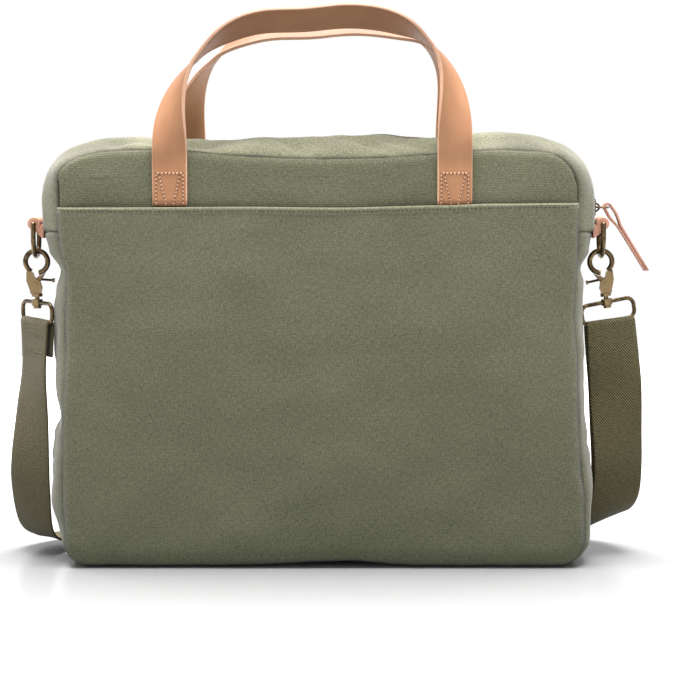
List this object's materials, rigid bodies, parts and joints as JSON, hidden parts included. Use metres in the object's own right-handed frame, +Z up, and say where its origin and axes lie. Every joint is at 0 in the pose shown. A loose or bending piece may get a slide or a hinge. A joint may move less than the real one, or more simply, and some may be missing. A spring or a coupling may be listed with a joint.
{
  "type": "laptop sleeve",
  "caption": "Slim soft canvas laptop case with a front slip pocket, zipped top, leather carry handles and a clip-on webbing shoulder strap.",
  "frame": {"origin": "centre of the flat base that the case stands on", "axes": "+X to the right seen from the front, +Y to the back, +Z up"},
  "size_m": [0.4741, 0.1274, 0.4081],
  "materials": {
    "canvas": "olive canvas, plain weave, matt",
    "foam": "soft foam behind the canvas",
    "lining": "dark woven lining",
    "board": "stiff plastic sheet in the base",
    "zip_tape": "dark brown woven zip tape",
    "zip_teeth": "dark brown coil",
    "leather": "natural tan leather, smooth, satin",
    "antique_brass": "antique brass, dark in the hollows and rubbed bright on the edges",
    "spring_steel": "small spring",
    "zip_metal": "dark antique finish",
    "webbing": "dark olive twill webbing"
  },
  "bodies": {
    "root": {"front_panel": "canvas", "front_padding": "foam", "front_lining": "lining", "back_panel": "canvas", "back_padding": "foam", "back_lining": "lining", "lower_gusset": "canvas", "base_board": "board", "laptop_divider": "lining", "rear_zip_gusset": "canvas", "gusset_ends": "canvas", "rear_zip_tape": "zip_tape", "rear_zip_teeth": "zip_teeth", "zip_ends": "zip_teeth", "pocket_panel": "canvas", "pocket_hem": "canvas", "rear_handle_ends": "leather", "left_side_tab": "leather", "right_side_tab": "leather"},
    "front_lid": {"front_upper_panel": "canvas", "front_zip_gusset": "canvas", "front_zip_tape": "zip_tape", "front_zip_teeth": "zip_teeth", "front_handle_ends": "leather"},
    "front_handle": {"front_handle": "leather"},
    "rear_handle": {"rear_handle": "leather"},
    "left_d_ring": {"left_d_ring": "antique_brass"},
    "right_d_ring": {"right_d_ring": "antique_brass"},
    "shoulder_strap": {"shoulder_strap": "webbing", "strap_return_layer": "webbing", "strap_tail": "webbing", "left_strap_loop": "antique_brass", "right_strap_loop": "antique_brass"},
    "left_hook": {"left_hook": "antique_brass", "left_hook_shank": "antique_brass", "left_hook_rivet": "antique_brass", "left_hook_spring": "spring_steel"},
    "right_hook": {"right_hook": "antique_brass", "right_hook_shank": "antique_brass", "right_hook_rivet": "antique_brass", "right_hook_spring": "spring_steel"},
    "left_trigger": {"left_trigger": "antique_brass"},
    "right_trigger": {"right_trigger": "antique_brass"},
    "strap_adjuster": {"strap_adjuster": "antique_brass", "adjuster_fold": "webbing"},
    "zip_slider": {"zip_slider": "zip_metal"},
    "zip_ring": {"zip_ring": "zip_metal"},
    "zip_pull": {"zip_pull": "leather"}
  },
  "joints": [
    {"name": "lid_opening", "type": "hinge", "parent": "root", "child": "front_lid", "pos_m": [0, -0.037, 0.264], "axis": [1, 0, 0], "range_deg": [0, 45]},
    {"name": "front_handle_swing", "type": "hinge", "parent": "front_lid", "child": "front_handle", "pos_m": [0, -0.0345, 0.291], "axis": [1, 0, 0], "range_deg": [0, 110]},
    {"name": "rear_handle_swing", "type": "hinge", "parent": "root", "child": "rear_handle", "pos_m": [0, 0.0355, 0.291], "axis": [1, 0, 0], "range_deg": [-120, 0]},
    {"name": "left_ring_tilt", "type": "hinge", "parent": "root", "child": "left_d_ring", "pos_m": [-0.2075, 0, 0.249], "axis": [0, 1, 0], "range_deg": [-3, 3]},
    {"name": "right_ring_tilt", "type": "hinge", "parent": "root", "child": "right_d_ring", "pos_m": [0.2075, 0, 0.249], "axis": [0, 1, 0], "range_deg": [-3, 3]},
    {"name": "strap_swing", "type": "hinge", "parent": "root", "child": "shoulder_strap", "pos_m": [0, 0, 0.239], "axis": [1, 0, 0], "range_deg": [0, 75]},
    {"name": "left_hook_swivel", "type": "hinge", "parent": "shoulder_strap", "child": "left_hook", "pos_m": [-0.2075, 0, 0.191], "axis": [0, 0, 1], "range_deg": [-22, 22]},
    {"name": "right_hook_swivel", "type": "hinge", "parent": "shoulder_strap", "child": "right_hook", "pos_m": [0.21219, 0, 0.19137], "axis": [-0.1564, 0, 0.9877], "range_deg": [-22, 22]},
    {"name": "left_trigger_pull", "type": "hinge", "parent": "left_hook", "child": "left_trigger", "pos_m": [-0.209, 0, 0.204], "axis": [0, 1, 0], "range_deg": [0, 25], "stiffness_Nm_per_rad": 0.008, "springref_deg": -17.19},
    {"name": "right_trigger_pull", "type": "hinge", "parent": "right_hook", "child": "right_trigger", "pos_m": [0.21164, 0, 0.20444], "axis": [0, -1, 0], "range_deg": [0, 25], "stiffness_Nm_per_rad": 0.008, "springref_deg": -17.19},
    {"name": "adjuster_slide", "type": "slide", "parent": "shoulder_strap", "child": "strap_adjuster", "axis": [1, 0, 0], "range_m": [-0.15, 0.012]},
    {"name": "zip_travel", "type": "hinge", "parent": "front_lid", "child": "zip_slider", "pos_m": [0.149, 0, 0.264], "axis": [0, -1, 0], "range_deg": [0, 90]},
    {"name": "zip_ring_swing", "type": "hinge", "parent": "zip_slider", "child": "zip_ring", "pos_m": [0.2039, 0, 0.261], "axis": [0, -1, 0], "range_deg": [0, 40]},
    {"name": "zip_pull_swing", "type": "hinge", "parent": "zip_ring", "child": "zip_pull", "pos_m": [0.2119, 0, 0.261], "axis": [0, -1, 0], "range_deg": [0, 60]}
  ]
}
